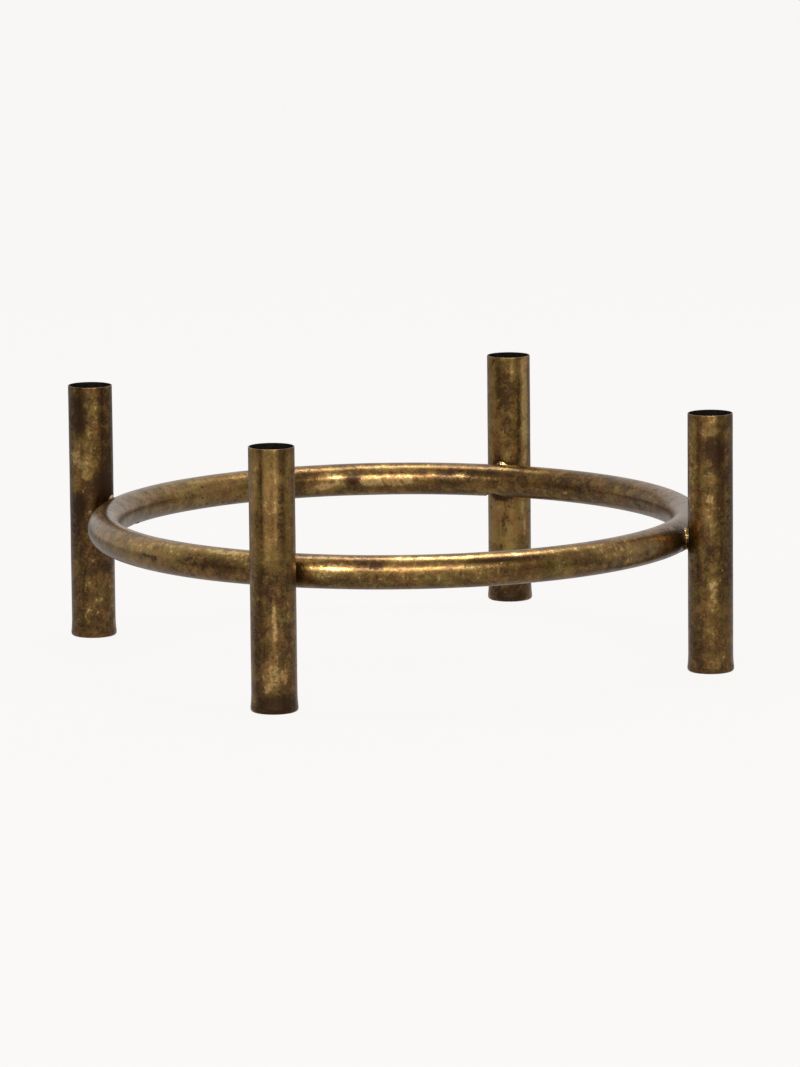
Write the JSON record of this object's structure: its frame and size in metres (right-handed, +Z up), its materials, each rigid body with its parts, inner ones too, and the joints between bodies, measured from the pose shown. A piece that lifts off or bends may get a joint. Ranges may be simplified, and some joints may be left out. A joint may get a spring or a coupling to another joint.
{
  "type": "candlestick",
  "caption": "Low ring candlestick: upright tube sockets for taper candles, brazed round the outside of a bent-tube hoop, standing on the tubes' closed feet.",
  "frame": {"origin": "on the floor at the centre of the hoop and of the four feet", "axes": "+Z up; the front upright stands at -Y and the right one at +X"},
  "size_m": [0.402, 0.402, 0.146],
  "materials": {
    "aged_brass": "aged and mottled, brown to olive with worn golden patches, satin to semi-gloss",
    "dull_brass": "dark, unpolished",
    "braze_metal": "bright golden braze, lumpy and glossy"
  },
  "bodies": {
    "root": {"hoop": "aged_brass", "upright_front": "aged_brass", "candle_stop_front": "dull_brass", "foot_plug_front": "aged_brass", "braze_front": "braze_metal", "upright_right": "aged_brass", "candle_stop_right": "dull_brass", "foot_plug_right": "aged_brass", "braze_right": "braze_metal", "upright_back": "aged_brass", "candle_stop_back": "dull_brass", "foot_plug_back": "aged_brass", "braze_back": "braze_metal", "upright_left": "aged_brass", "candle_stop_left": "dull_brass", "foot_plug_left": "aged_brass", "braze_left": "braze_metal"}
  },
  "joints": []
}
